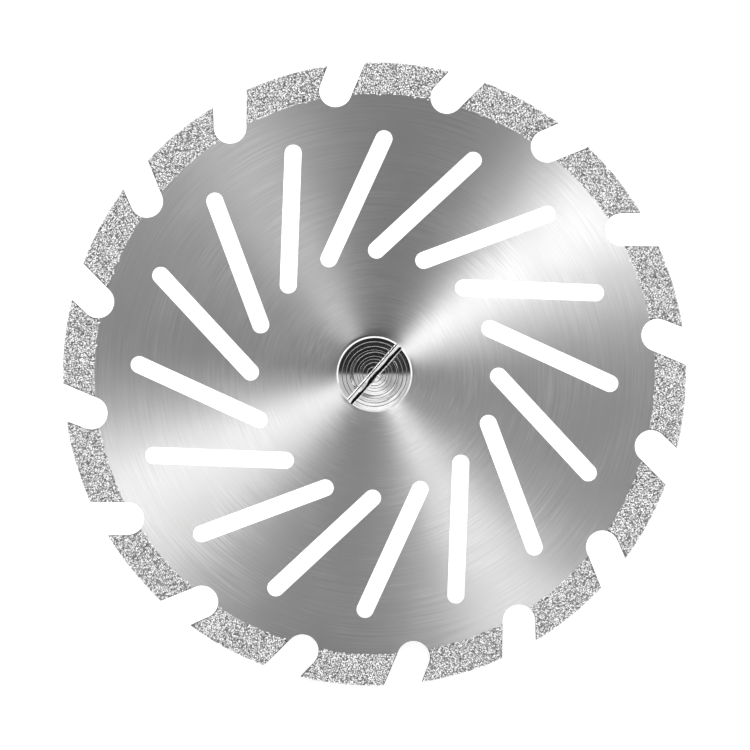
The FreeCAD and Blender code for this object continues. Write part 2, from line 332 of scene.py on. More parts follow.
class ToolPattern:
    """Coordinates about the tool's axis, and the marks that turning and brushing leave."""

    def __init__(self, tree: NodeTree) -> None:
        """Turn Object coordinates into bench millimetres.

        Args:
            tree: The material's node tree.
        """
        self.tree = tree
        self.scene_place = add_node(tree, "TexCoord", output="Object")
        self.place = add_node(tree, "Mapping", {
            "Vector": self.scene_place,
            "Location": TOOL.centre,
            "Rotation": TOOL.turn.to_euler(),
            "Scale": (MM, MM, MM),
        }, vector_type="TEXTURE")

    def ring_lines(self, line: float, arc: float,
                   centre: tuple[float, float] = (0.0, 0.0)) -> NodeSocket:
        """Lines that run round an axis, as a brush or a lathe tool leaves them.

        Args:
            line: Width of a line in millimetres.
            arc: Length of a line, as an angle in radians.
            centre: Where the lines' axis stands off the tool's, in millimetres.

        Returns:
            A noise whose mean is NOISE_MEAN.
        """
        tree = self.tree
        arm = add_node(tree, "VectorMath", {0: self.place, 1: (-centre[0], -centre[1], 0.0)},
                       operation="ADD")
        flat = add_node(tree, "VectorMath", {0: arm, 1: (1.0, 1.0, 0.0)},
                        operation="MULTIPLY")
        radius = add_node(tree, "VectorMath", {0: flat}, "Value", operation="LENGTH")
        height = add_node(tree, "SeparateXYZ", {0: arm}, "Z")
        depth = add_node(tree, "Math", {0: radius, 1: height}, operation="ADD")
        across = add_node(tree, "CombineXYZ", {
            "Z": add_node(tree, "Math", {0: depth, 1: 1 / line}, operation="MULTIPLY")})
        bearing = add_node(tree, "VectorMath", {0: flat}, operation="NORMALIZE")
        spot = add_node(tree, "VectorMath", {0: bearing, 1: (1 / arc,) * 3, 2: across},
                        operation="MULTIPLY_ADD")
        return add_node(tree, "TexNoise", {"Vector": spot, "Scale": 1.0, "Detail": 1.0})

    def directions(self) -> tuple[NodeSocket, NodeSocket]:
        """The surface's own direction, and the one that runs round the axis.

        Returns:
            The normal, and the direction round the axis, as long as its arm.
        """
        arm = add_node(self.tree, "VectorMath", {0: self.scene_place, 1: TOOL.centre},
                       operation="SUBTRACT")
        along = add_node(self.tree, "VectorMath", {0: TOOL.front, 1: arm},
                         operation="CROSS_PRODUCT")
        return add_node(self.tree, "NewGeometry", output="Normal"), along

    def dished_normal(self, dish: float) -> NodeSocket:
        """The surface's direction, leaned outwards near the axis and less towards the rim.

        Args:
            dish: The lean at the axis, as a tangent.

        Returns:
            The leaned direction.
        """
        tree = self.tree
        normal, along = self.directions()
        outward = add_node(tree, "VectorMath", {0: along, 1: TOOL.front},
                           operation="CROSS_PRODUCT")
        unit = add_node(tree, "VectorMath", {0: outward}, operation="NORMALIZE")
        fade = add_node(tree, "VectorMath", {
            0: outward, 1: (-1 / TOOL.rim_radius,) * 3, 2: unit}, operation="MULTIPLY_ADD")
        lean = add_node(tree, "VectorMath", {0: fade, 1: (dish,) * 3, 2: normal},
                        operation="MULTIPLY_ADD")
        return add_node(tree, "VectorMath", {0: lean}, operation="NORMALIZE")

    def across_lines(self, lean: NodeSocket) -> NodeSocket:
        """Direction in the surface, square to lines that run nearly round the axis.

        Args:
            lean: How far a line leans off its ring, as a tangent.

        Returns:
            The direction.
        """
        normal, along = self.directions()
        across = add_node(self.tree, "VectorMath", {0: normal, 1: along},
                          operation="CROSS_PRODUCT")
        return add_node(self.tree, "VectorMath", {0: along, 1: lean, 2: across},
                        operation="MULTIPLY_ADD")


def new_material(name: str, constants: dict[str, float | tuple[float, ...]],
                 ) -> tuple[Material, NodeTree, Node]:
    """Start a material and set its shader's constant values.

    Args:
        name: The finish's name.
        constants: Shader sockets whose value is the same all over.

    Returns:
        The material, its node tree and its shader.
    """
    material = bpy.data.materials.new(name)
    material.use_nodes = True
    shader = material.node_tree.nodes["Principled BSDF"]
    for socket, value in constants.items():
        shader.inputs[socket].default_value = value
    return material, material.node_tree, shader


@dataclass(frozen=True)
class Finish:
    """What the tool's finishes share: a name, two tones and a roughness that varies."""

    name: str
    dark: str
    light: str
    roughness: float
    roughness_spread: float   # negative where the light spots are the smooth ones

    def coat(self, shader: Node, tone: NodeSocket, grain: NodeSocket) -> None:
        """Give a shader its colour and its roughness.

        Args:
            shader: The material's shader.
            tone: Share of the light tone, over the surface.
            grain: Share of the way up the roughness's spread, over the surface.
        """
        tree = shader.id_data
        colour = add_node(tree, "Mix", {
            "Factor": tone,
            6: linear_from_hex(self.dark),
            7: linear_from_hex(self.light),
        }, 2, data_type="RGBA")
        rough = add_node(tree, "MapRange", {
            "Value": grain,
            "To Min": self.roughness - self.roughness_spread,
            "To Max": self.roughness + self.roughness_spread,
        })
        tree.links.new(colour, shader.inputs["Base Color"])
        tree.links.new(rough, shader.inputs["Roughness"])


@dataclass(frozen=True)
class LinedSteel(Finish):
    """Stainless steel whose fine lines run round the axis: brushed sheet or turned bar.

    The lines throw light square to their run, so a face seen straight on shows
    bright wedges that meet at the centre.
    """

    streak: float             # how much longer the gloss is across the lines
    line: float               # width of the lines that show, in millimetres
    arc: float                # their length, as an angle in radians
    depth: float              # their depth, in millimetres
    cross_centre: tuple[float, float] = (0.6, -0.35)  # axis of a second set
    crossing: float = 0.2     # the second set's strength, as a share of the first's
    cross_line: float = 1.3   # its lines' width, likewise
    cross_arc: float = 0.7    # and their length
    cloud: float = 4.0        # size of the soft patches, in millimetres
    cloud_tone: float = 0.3   # how much the patches change the tone
    patchiness: float = 0.7   # how much the lines fade between patches
    fade: tuple[float, float] = (0.4, 0.7)    # patch levels over which they come up
    tones: tuple[float, float] = (-0.1, 0.4)  # tone levels of the dark and the light
    strongest: float = 0.25   # the level of the strongest marks
    waver: float = 0.0        # how far the lines lean off their rings, as a tangent
    dish: float = 0.0         # how far the face leans outwards at the axis, as a tangent

    def make(self) -> Material:
        """Build the material.

        Returns:
            The material.
        """
        material, tree, shader = new_material(
            self.name, {"Metallic": 1.0, "Anisotropic": self.streak})
        pattern = ToolPattern(tree)
        lines = pattern.ring_lines(self.line, self.arc)
        crossing = pattern.ring_lines(self.line * self.cross_line, self.arc * self.cross_arc,
                                      self.cross_centre)
        clouds = add_node(tree, "TexNoise", {
            "Vector": pattern.place, "Scale": 1 / self.cloud, "Detail": 3.0})
        both = add_node(tree, "Math", {0: crossing, 1: self.crossing, 2: lines},
                        operation="MULTIPLY_ADD")
        level = add_node(tree, "Math", {0: both, 1: NOISE_MEAN * (1 + self.crossing)},
                         operation="SUBTRACT")
        strength = add_node(tree, "MapRange", {
            "Value": clouds, "From Min": self.fade[0], "From Max": self.fade[1],
            "To Min": 1 - self.patchiness})
        marks = add_node(tree, "Math", {0: level, 1: strength}, operation="MULTIPLY")
        patches = add_node(tree, "Math", {0: clouds, 1: self.cloud_tone, 2: marks},
                           operation="MULTIPLY_ADD")
        tone = add_node(tree, "MapRange", {
            "Value": patches, "From Min": self.tones[0], "From Max": self.tones[1]})
        grain = add_node(tree, "MapRange", {
            "Value": marks, "From Min": -self.strongest, "From Max": self.strongest})
        self.coat(shader, tone, grain)
        normal = add_node(tree, "Bump", {
            "Height": marks,
            "Distance": self.depth * MM,
            "Normal": pattern.dished_normal(self.dish),
        })
        lean = add_node(tree, "Math", {0: marks, 1: self.waver}, operation="MULTIPLY")
        tree.links.new(normal, shader.inputs["Normal"])
        tree.links.new(pattern.across_lines(lean), shader.inputs["Tangent"])
        return material


# Cold-rolled stainless strip, spun under a fine abrasive belt. To the eye it is satin
# grey with fine arcs, and each lamp makes a bright wedge that points at the screw. A
# belt's lines are 0.010 to 0.025 mm wide, too fine to show, so they are drawn at 0.085 mm:
# a pixel of the photograph is 0.064 mm. The clamped sheet leans outwards a little. All of
# its roughness stays above 0.274: where it crosses that value, denoising draws false
# contour lines.
SHEET_STEEL = LinedSteel("brushed_stainless_sheet", dark="a8a8a8", light="c6c6c6",
                         roughness=0.2865, roughness_spread=0.012, streak=1.0,
                         line=0.085, arc=0.28, depth=0.0003, patchiness=0.85, waver=0.25,
                         dish=0.05)

# Free-cutting stainless bar, faced on a lathe. It is bright, almost a mirror, so that its
# rings show as sharp light and dark bands. The fine marks on them are about 0.01 mm wide,
# too fine to show, and are drawn at 0.07 mm.
SCREW_STEEL = LinedSteel("turned_stainless_screw", dark="a4a4a4", light="dadada",
                         roughness=0.13, roughness_spread=0.04, streak=0.3,
                         line=0.07, arc=0.5, depth=0.003)

# Stainless bar, turned along its length. It is satin, with thin rings round the shank. The
# tool's feed of 0.03 to 0.05 mm is too fine to show, and is drawn at 0.1 mm.
MANDREL_STEEL = LinedSteel("turned_stainless_bar", dark="9c9c9c", light="bcbcbd",
                           roughness=0.32, roughness_spread=0.03, streak=0.6,
                           line=0.1, arc=4.0, depth=0.0003)


# Nickel, plated from a bath round the grit. It is dull grey between the crystals, and
# lighter and smoother on top of its nodules. Nodules are 0.005 to 0.02 mm across, too fine
# to show, and are drawn at 0.05 mm.
@dataclass(frozen=True)
class NickelBond(Finish):
    """Electroplated nickel that holds the grit: dull grey, with small nodules."""

    name: str = "electroplated_nickel_bond"
    dark: str = "4e4e4e"
    light: str = "949493"
    roughness: float = 0.42
    roughness_spread: float = -0.1
    nodule: float = 0.05      # millimetres across
    depth: float = 0.008      # millimetres

    def make(self) -> Material:
        """Build the material.

        Returns:
            The material.
        """
        material, tree, shader = new_material(self.name, {"Metallic": 1.0})
        nodules = add_node(tree, "TexNoise", {
            "Vector": ToolPattern(tree).place, "Scale": 1 / self.nodule, "Detail": 2.0})
        height = add_node(tree, "MapRange", {
            "Value": nodules, "From Min": NOISE_LOW, "From Max": NOISE_HIGH})
        self.coat(shader, height, height)
        normal = add_node(tree, "Bump", {"Height": height, "Distance": self.depth * MM})
        tree.links.new(normal, shader.inputs["Normal"])
        return material


# Crushed synthetic diamond, held proud of the nickel. Each hard facet glints or stays
# dark, and each crystal has a tone of its own, so that the band sparkles. Real grit is
# 0.03 to 0.13 mm across, and the crystals are modelled at 0.14 mm, as the photograph's
# grain. Pits of a few thousandths of a millimetre are drawn at 0.03 mm.
@dataclass(frozen=True)
class DiamondGrit(Finish):
    """Synthetic diamond crystals: hard grey facets, each crystal of its own tone."""

    name: str = "synthetic_diamond_grit"
    dark: str = "3a3a3a"
    light: str = "f6f6f6"
    roughness: float = 0.22
    roughness_spread: float = 0.1
    tone_attribute: str = "grain_tone"
    pit: float = 0.03         # millimetres across
    refraction: float = 2.42  # diamond's index

    def make(self) -> Material:
        """Build the material.

        Returns:
            The material.
        """
        material, tree, shader = new_material(self.name, {"IOR": self.refraction})
        tone = add_node(tree, "Attribute", output="Fac", attribute_name=self.tone_attribute)
        pits = add_node(tree, "TexNoise", {
            "Vector": ToolPattern(tree).place, "Scale": 1 / self.pit, "Detail": 1.0})
        grain = add_node(tree, "MapRange", {
            "Value": pits, "From Min": NOISE_LOW, "From Max": NOISE_HIGH})
        self.coat(shader, tone, grain)
        return material


# The screw's own steel, cut by a slitting saw. Its near-black tone is painted shade: the
# deep slot reads as a nearly black line across the head. The streaks along the cut are saw
# marks, about 0.01 mm wide, too fine to show, and drawn at 0.05 mm.
@dataclass(frozen=True)
class SawnSteelPaintedShade(Finish):
    """Stainless steel as a slitting saw leaves it: rough along the cut, painted dark as
    shade.
    """

    name: str = "sawn_slot_painted_shade"
    # Both tones are painted shade, near black, for the slot's deep faces.
    dark: str = "141414"
    light: str = "4a4a4a"
    roughness: float = 0.5
    roughness_spread: float = -0.12
    line: float = 0.05        # width of a saw mark, in millimetres
    run: float = 0.8          # its length

    def make(self, slot_turn_deg: float) -> Material:
        """Build the material.

        Args:
            slot_turn_deg: The slot's direction on the head.

        Returns:
            The material.
        """
        material, tree, shader = new_material(self.name, {"Metallic": 1.0})
        along = add_node(tree, "Mapping", {
            "Vector": ToolPattern(tree).place,
            "Rotation": (0.0, 0.0, math.radians(slot_turn_deg)),
            "Scale": (self.run, self.line, self.line),
        }, vector_type="TEXTURE")
        marks = add_node(tree, "TexNoise", {"Vector": along, "Scale": 1.0, "Detail": 2.0})
        grain = add_node(tree, "MapRange", {
            "Value": marks, "From Min": NOISE_LOW, "From Max": NOISE_HIGH})
        self.coat(shader, grain, grain)
        return material


def dress(piece: Object, materials: Sequence[Material]) -> None:
    """Give a piece its materials.

    Args:
        piece: The mesh object.
        materials: One for each of its slots, in order.
    """
    piece.data.materials.clear()
    for material in materials:
        piece.data.materials.append(material)


@dataclass
class BareSteelPart:
    """A steel solid that stays as the frame has it, under a better finish."""

    node: str

    def dress(self, steel: Material) -> None:
        """Put a finish in each of the solid's material slots.

        Args:
            steel: The finish.
        """
        for slot in frame["nodes"][self.node].material_slots:
            slot.material = steel
        LOG.info("%s: %s", self.node, steel.name)


@dataclass
class DiscCore(BareSteelPart):
    """The brushed sheet of the disc."""

    node: str = "disc_core"


@dataclass
class Mandrel(BareSteelPart):
    """The turned mandrel."""

    node: str = "mandrel"


class Side(Enum):
    """The three surfaces of a grit cap that carry crystals."""

    FRONT = 1
    BACK = -1
    RIM = 0


@dataclass(frozen=True)
class CapSolid:
    """The solid of one grit cap, measured on the bench."""

    tree: BVHTree                 # its surface, for probing
    radii: tuple[float, float]    # from its inner edge to its rim
    angles: tuple[float, float]   # from its one end to the other, in radians

    @classmethod
    def measure(cls, node: str) -> "CapSolid":
        """Measure a cap of the frame.

        Args:
            node: The cap's node.

        Returns:
            The measured solid.
        """
        solid = bench_copy(node, "cap_probe")
        tree = BVHTree.FromPolygons([v.co for v in solid.data.vertices],
                                    [tuple(p.vertices) for p in solid.data.polygons])
        points = np.array([v.co for v in solid.data.vertices])
        bpy.data.objects.remove(solid)
        angles = np.unwrap(np.arctan2(points[:, 1], points[:, 0]))
        radii = np.hypot(points[:, 0], points[:, 1])
        return cls(tree, (radii.min(), radii.max()), (angles.min(), angles.max()))


@dataclass
class GritBand:
    """The bonded diamond grit: one cap over each tooth, front, rim and back.

    Sizes are in millimetres.
    """

    crystal: float = 0.140        # across a crystal's corners
    crystal_spread: float = 0.25  # how much sizes differ
    spacing: float = 0.122        # between crystals
    jitter: float = 0.26          # how far a crystal strays, as a share of the spacing
    bond_drop: float = 0.05       # bond's surface below the crystals' tips
    tip_drop: float = 0.022       # how much lower the lowest tips lie
    edge_margin: float = 0.055    # clear strip along the gullets' flanks
    stray_width: float = 0.09     # strip inside the band where stray crystals sit
    stray_share: float = 0.8      # how many of the places there are taken, at most
    stray_stand: float = 0.095    # how far their tips stand off the steel
    row_share: float = 0.866      # rows of a close packing, as a share of the spacing
    probe: float = 1.0            # how far off the surface a probe starts
    probe_slack: float = 1.2      # how deep it may reach, as a share of that
    facing: float = 0.2           # least part of a surface's direction that faces out
    tones: tuple[float, float] = (1.5, 0.7)  # shape of the tones' spread: mostly light
    seed: int = 20
    half_rim: float = field(init=False)
    rim_radius: float = field(init=False)
    stray_level: float = field(init=False)
    draw: np.random.Generator = field(init=False)

    def __post_init__(self) -> None:
        """Work out the band's levels from the frame."""
        self.half_rim = TOOL.rim_front / MM
        self.rim_radius = TOOL.rim_radius / MM
        core = frame["nodes"]["disc_core"].data.vertices
        front = max((v.co - TOOL.centre).dot(TOOL.front) for v in core)
        self.stray_level = front / MM + self.stray_stand
        self.draw = np.random.default_rng(self.seed)

    def make_crystal(self) -> Crystal:
        """Model one crystal: a cube whose corners are cut to the middles of its edges.

        Returns:
            The crystal, scaled to one across.
        """
        bpy.ops.object.select_all(action="DESELECT")
        bpy.ops.mesh.primitive_cube_add(size=1.0)
        cube = bpy.context.object
        with editing(cube):
            bpy.ops.mesh.bevel(offset_type="PERCENT", offset_pct=50, affect="VERTICES")
            bpy.ops.mesh.remove_doubles(threshold=WELD)
            bpy.ops.mesh.normals_make_consistent(inside=False)
        points = np.array([v.co for v in cube.data.vertices])
        faces = [tuple(p.vertices) for p in cube.data.polygons]
        points /= 2 * np.linalg.norm(points, axis=1).max()
        bpy.data.objects.remove(cube)
        return points, faces

    def make_bond(self, node: str, name: str) -> Object:
        """Model the bond under the crystals from the cap's solid.

        Args:
            node: The cap's node in the frame.
            name: The new piece's name.

        Returns:
            The bond, in bench millimetres.
        """
        bond = bench_copy(node, name)
        near = self.bond_drop / 2
        with editing(bond):
            for side in (Side.FRONT, Side.BACK):
                level = side.value * self.half_rim
                pick_points(bond, lambda p: abs(p.z - level) < near)
                bpy.ops.transform.translate(value=(0, 0, -side.value * self.bond_drop))
            pick_points(bond, lambda p: math.hypot(p.x, p.y) > self.rim_radius - near)
            shrink = 1 - self.bond_drop / self.rim_radius
            bpy.ops.transform.resize(value=(shrink, shrink, 1.0), center_override=(0, 0, 0))
        return bond

    def lattice(self, rows: tuple[float, float], angles: tuple[float, float],
                radius_of: Callable[[float], float]) -> np.ndarray:
        """Lay out staggered rows of places with random strays.

        Args:
            rows: Where the first and the last row lie.
            angles: Where each row starts and ends round the axis.
            radius_of: Gives a row's distance from the axis.

        Returns:
            Place across the rows and angle round the axis, one line per place.
        """
        places = []
        row, odd = rows[0], False
        while row <= rows[1]:
            step = self.spacing / radius_of(row)
            along = np.arange(angles[0] + step / 2 * odd, angles[1], step)
            stray = self.draw.uniform(-self.jitter, self.jitter, (len(along), 2))
            places.append(np.column_stack((row + stray[:, 0] * self.spacing,
                                           along + stray[:, 1] * step)))
            row, odd = row + self.spacing * self.row_share, not odd
        return np.concatenate(places)

    def lands(self, cap: CapSolid, place: Vector, out: Vector) -> bool:
        """Say whether a crystal here has the cap's surface under all of it.

        Args:
            cap: The cap's solid.
            place: Where the crystal is, on the crystals' level.
            out: Its way out.

        Returns:
            True if it has.
        """
        side = out.orthogonal().normalized() * self.edge_margin
        other = out.cross(side)
        for shift in (side, -side, other, -other):
            start = place + shift + out * self.probe
            _, normal, _, reach = cap.tree.ray_cast(start, -out, 2 * self.probe)
            if normal is None or reach > self.probe * self.probe_slack:
                return False
            if normal.dot(out) < self.facing:
                return False
        return True

    def seats(self, cap: CapSolid, side: Side) -> list[Seat]:
        """Find where crystals sit on one surface of a cap.

        Args:
            cap: The cap's solid.
            side: The surface.

        Returns:
            For each crystal the place on the crystals' level and the way out.
        """
        if side is Side.RIM:
            half = self.half_rim - self.spacing / 2
            rows = self.lattice((-half, half), cap.angles, lambda _: self.rim_radius)
        else:
            rows = self.lattice(cap.radii, cap.angles, lambda radius: radius)
        found = []
        for across, angle in rows:
            bearing = Vector((math.cos(angle), math.sin(angle), 0.0))
            if side is Side.RIM:
                place, out = bearing * self.rim_radius + Vector((0, 0, across)), bearing
            else:
                out = Vector((0.0, 0.0, side.value))
                place = bearing * across + out * self.half_rim
            if self.lands(cap, place, out):
                found.append((np.array(place), np.array(out)))
        return found

    def stray_seats(self, cap: CapSolid, side: Side) -> list[Seat]:
        """Find where stray crystals sit on the steel, just inside the band.

        Args:
            cap: The cap's solid.
            side: The front or the back.

        Returns:
            For each crystal the place on the crystals' level and the way out.
        """
        inner = cap.radii[0]
        rows = self.lattice((inner - self.stray_width, inner + self.edge_margin),
                            cap.angles, lambda radius: radius)
        out = Vector((0.0, 0.0, side.value))
        found = []
        for radius, angle in rows:
            near = 1 - (inner - radius) / self.stray_width
            bearing = Vector((math.cos(angle), math.sin(angle), 0.0))
            behind = bearing * (inner + self.stray_width) + out * self.half_rim
            backed = self.lands(cap, behind, out)
            if backed and self.draw.uniform() < near * self.stray_share:
                place = bearing * radius + out * self.stray_level
                found.append((np.array(place), np.array(out)))
        return found

    def random_turns(self, count: int) -> np.ndarray:
        """Draw random rotations.

        Args:
            count: How many.

        Returns:
            Rotation matrices, one for each crystal.
        """
        w, x, y, z = self.draw.normal(size=(4, count))
        length = np.sqrt(w * w + x * x + y * y + z * z)
        w, x, y, z = w / length, x / length, y / length, z / length
        rows = [
            [1 - 2 * (y * y + z * z), 2 * (x * y - z * w), 2 * (x * z + y * w)],
            [2 * (x * y + z * w), 1 - 2 * (x * x + z * z), 2 * (y * z - x * w)],
            [2 * (x * z - y * w), 2 * (y * z + x * w), 1 - 2 * (x * x + y * y)],
        ]
        return np.moveaxis(np.array(rows), 2, 0)

    def strew(self, name: str, seats: list[Seat], crystal: Crystal) -> Object:
        """Lay a copy of the crystal on every seat, turned and sized at random.

        Args:
            name: The new piece's name.
            seats: Place and way out for each crystal.
            crystal: The crystal to copy.

        Returns:
            All the crystals as one piece, in bench millimetres.
        """
        shape, faces = crystal
        count = len(seats)
        places = np.array([place for place, _ in seats])
        outs = np.array([out for _, out in seats])
        sizes = self.crystal * (1 + self.draw.uniform(
            -self.crystal_spread, self.crystal_spread, (count, 1, 3)))
        turned = np.einsum("nij,nkj->nki", self.random_turns(count), shape[None] * sizes)
        tips = np.einsum("nki,ni->nk", turned, outs).max(axis=1)
        sink = tips + self.draw.uniform(0, self.tip_drop, count)
        corners = turned + (places - outs * sink[:, None])[:, None, :]
        mesh = bpy.data.meshes.new(name)
        step = len(shape)
        mesh.from_pydata(
            corners.reshape(-1, 3).tolist(), [],
            [tuple(i + n * step for i in face) for n in range(count) for face in faces])
        tones = np.repeat(self.draw.beta(*self.tones, count), step)
        mesh.attributes.new(DiamondGrit.tone_attribute, "FLOAT", "POINT")
        mesh.attributes[DiamondGrit.tone_attribute].data.foreach_set(
            "value", tones.astype(np.float32))
        piece = bpy.data.objects.new(name, mesh)
        bpy.context.scene.collection.objects.link(piece)
        return piece

    def build(self, bond_finish: Material, grit_finish: Material) -> None:
        """Build every cap: its bond and its crystals, joined into one piece.

        Args:
            bond_finish: The nickel's material.
            grit_finish: The crystals' material.
        """
        crystal = self.make_crystal()
        for node in sorted(n for n in frame["nodes"] if n.startswith("diamond_segment_")):
            name = node.replace("diamond_segment", "grit_cap")
            bond = self.make_bond(node, name)
            solid = CapSolid.measure(node)
            seats = [seat for side in Side for seat in self.seats(solid, side)]
            for side in (Side.FRONT, Side.BACK):
                seats += self.stray_seats(solid, side)
            crystals = self.strew(f"{name}_crystals", seats, crystal)
            dress(bond, [bond_finish])
            dress(crystals, [grit_finish])
            cap = join_pieces([bond, crystals])
            lay_in_place(cap)
            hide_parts(node)
            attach(cap, "root")
            LOG.info("%s: %d crystals", name, len(seats))


class SlotEdge(Enum):
    """The two long edges of the screw's slot."""

    HIGH = 1
    LOW = -1


@dataclass
class ClampScrew:
    """The slotted screw: a faced head with turning rings, and a sawn slot with burrs.

    Sizes are in millimetres. Across the slot, positive is towards the photo's
    upper left. A facing cut's feed is often 0.05 to 0.1 mm, but the photo's rings
    stand wider apart, and so do these.
    """

    node: str = "clamp_screw"
    bevel: float = 0.1            # round the face
    bevel_slope_deg: float = 35.0
    ring_pitch: float = 0.22      # feed of the facing cut
    ring_depth: float = 0.048
    ring_return: float = 0.14     # steep side of a ring, as a share of its pitch
    ring_stray: float = 0.3       # how uneven the rings are
    ring_room: float = 1.5        # space that one more ring needs, in pitches
    ring_hold: float = 0.6        # half of what moves with a ring, as a share of its width
    ring_wander: float = 0.03     # how far a ring's centre strays
    slot_turn_deg: float = 43.6
    slot_half: float = 0.21       # half the slot's width
    slot_floor: float = 0.2       # floor's depth at its high side
    slot_fall: float = 0.08       # how much the floor slants down to its low side
    wall_lean: float = 0.07       # lean of the wall on the high side
    groove_width: float = 0.12    # deeper groove along the low side
    groove_depth: float = 0.4
    groove_draft: float = 0.03    # how much it narrows downwards
    groove_rise: float = 0.05     # how much its floor rises to the low side
    cutter_top: float = 0.3       # how far the slot's cutter stands above the face
    cutter_reach: float = 1.2     # half its length, in head radii
    slack: float = 0.01           # a point this near to a line lies on it
    lip_width: float = 0.07       # burr along each edge of the slot
    lip_height: float = 0.035
    lip_root: float = 0.7         # its start inside the slot, as a share of slot_half
    lip_shoulder: float = 0.6     # how far its inner side drops, as a share of its height
    lip_crest: float = 0.3        # place of its crest, as a share of its width
    lip_toe: float = 0.4          # how far its outer side drops into the rings
    lip_foot: float = 1.5         # how deep it is rooted, in depths of a ring
    lip_inset: float = 0.8        # how far it stops short of the rim, in bevels
    stations: int = 48            # places along the slot where the burrs change
    stray: float = 0.03           # how much they change
    quick_share: float = 0.5      # how much of that changes from station to station
    swell: int = 5                # stations to a slow change
    smooth_side: float = 0.25     # share of the stray on the high side
    painted_shade_wall: float = 0.9        # where the painted shade starts on the high wall, as a share of its lean
    painted_shade_wall_top: float = 1.5    # upper edge of the painted shade on that wall, in heights of a burr
    painted_shade_groove_top: float = 1.1  # upper edge of the painted shade in the groove, in falls of the floor
    painted_shade_reach: float = 1.2       # how deep the slot's faces with painted shade lie, in depths of the groove
    flats: int = 160
    thread_radius: float = 0.7
    smooth_deg: float = 20.0      # sharper edges than this are shaded as edges
    seed: int = 7
    top: float = field(init=False)
    tip: float = field(init=False)
    head_radius: float = field(init=False)
    seat: float = field(init=False)
    draw: np.random.Generator = field(init=False)

    def __post_init__(self) -> None:
        """Measure the head and the tip on the frame's solid."""
        solid = bench_copy(self.node, "screw_probe")
        points = np.array([v.co for v in solid.data.vertices])
        bpy.data.objects.remove(solid)
        radii = np.hypot(points[:, 0], points[:, 1])
        self.top = float(points[:, 2].max())
        self.tip = float(points[:, 2].min())
        self.head_radius = float(radii.max())
        self.seat = float(points[radii > self.head_radius - self.bevel / 2][:, 2].min())
        self.draw = np.random.default_rng(self.seed)

    def face_profile(self) -> list[tuple[float, float]]:
        """Profile of the faced head, from the axis out to the bevelled edge.

        Each ring slopes down outwards and steps back up, so that its lower half
        mirrors the pale zone below the lens and its upper half the dark one above.

        Returns:
            Radius and height of each corner.
        """
        edge = self.head_radius - self.bevel
        face = self.top - self.lip_height
        profile = [(0.0, face)]
        radius = 0.0
        slope = self.ring_depth / (self.ring_pitch * (1 - self.ring_return))
        while radius + self.ring_pitch * self.ring_room < edge:
            pitch = self.ring_pitch * (1 + self.draw.uniform(-self.ring_stray,
                                                             self.ring_stray))
            flank = pitch * (1 - self.ring_return)
            profile.append((radius + flank, face - flank * slope))
            radius += pitch
            profile.append((radius, face))
        profile.append((edge, face - (edge - radius) * slope))
        drop = self.bevel * math.tan(math.radians(self.bevel_slope_deg))
        profile.append((self.head_radius, profile[-1][1] - drop))
        return profile

    def make_blank(self) -> Object:
        """Turn the screw without its slot, its rings a little off centre.

        Returns:
            The blank.
        """
        face = self.face_profile()
        blank = turn_profile("slotted_screw", face + [
            (self.head_radius, self.seat),
            (self.thread_radius, self.seat),
            (self.thread_radius, self.tip),
            (0.0, self.tip),
        ], self.flats)
        below_rings = self.top - 2 * self.bevel
        with editing(blank):
            for (foot, _), (crest, _) in zip(face[1:-2:2], face[2:-2:2]):
                middle, near = (foot + crest) / 2, (crest - foot) * self.ring_hold
                pick_points(blank, lambda p: p.z > below_rings and
                            abs(math.hypot(p.x, p.y) - middle) < near)
                move = self.draw.uniform(-self.ring_wander, self.ring_wander, 2)
                bpy.ops.transform.translate(value=(move[0], move[1], 0.0))
        return blank

    def wander(self, stray: float) -> np.ndarray:
        """Draw how far a bar's edge strays at each station, part slowly, part quickly.

        Args:
            stray: The farthest that either part reaches.

        Returns:
            A sideways and an upward stray for each station.
        """
        count = self.stations + 1
        quick = self.draw.uniform(-stray, stray, (count, 2))
        knots = self.draw.uniform(-stray, stray, (count // self.swell + 2, 2))
        slow = [np.interp(np.arange(count) / self.swell, np.arange(len(knots)), knot)
                for knot in knots.T]
        return quick * self.quick_share + np.column_stack(slow)

    def make_bar(self, outline: Sequence[tuple[float, float]], reach: float,
                 loose: Callable[[Vector], bool], stray: float) -> Object:
        """Draw a bar out along the slot, letting some of its corners wander.

        Args:
            outline: The bar's corners, across the slot and up from the face's top.
            reach: Half the bar's length.
            loose: Says which corners wander from station to station.
            stray: How far they wander.

        Returns:
            The closed bar.
        """
        bar = add_square("slot_bar", 1.0)
        pace = 2 * reach / self.stations
        moves = self.wander(stray)
        with editing(bar):
            draw_line([(-reach, y, z) for y, z in outline], self.top)
            bpy.ops.mesh.edge_face_add()
            for _ in range(self.stations):
                bpy.ops.mesh.extrude_region_move(
                    TRANSFORM_OT_translate={"value": (pace, 0, 0)})
            for station, (sideways, upward) in enumerate(moves):
                here = pace * station - reach
                pick_points(bar, lambda p: abs(p.x - here) < pace / 4 and loose(p))
                bpy.ops.transform.translate(value=(0, sideways, upward / 2))
            bpy.ops.mesh.select_all(action="SELECT")
            bpy.ops.mesh.normals_make_consistent(inside=False)
        return bar

    def make_cutter(self) -> Object:
        """Model the space of the slot: a slanted floor and a rough groove beside it.

        Returns:
            The space, as a closed bar.
        """
        half, floor = self.slot_half, -self.slot_floor
        inner = self.groove_width - half
        outline = [
            (half, self.cutter_top),
            (half, -self.lip_height),
            (half - self.wall_lean, floor),
            (inner, floor - self.slot_fall),
            (inner - self.groove_draft, -self.groove_depth),
            (-half, -self.groove_depth + self.groove_rise),
            (-half, self.cutter_top),
        ]
        return self.make_bar(
            outline, self.head_radius * self.cutter_reach,
            lambda p: abs(p.y - inner) < self.groove_draft + self.slack or
            (p.y < -half + self.slack and p.z > self.top), self.stray)

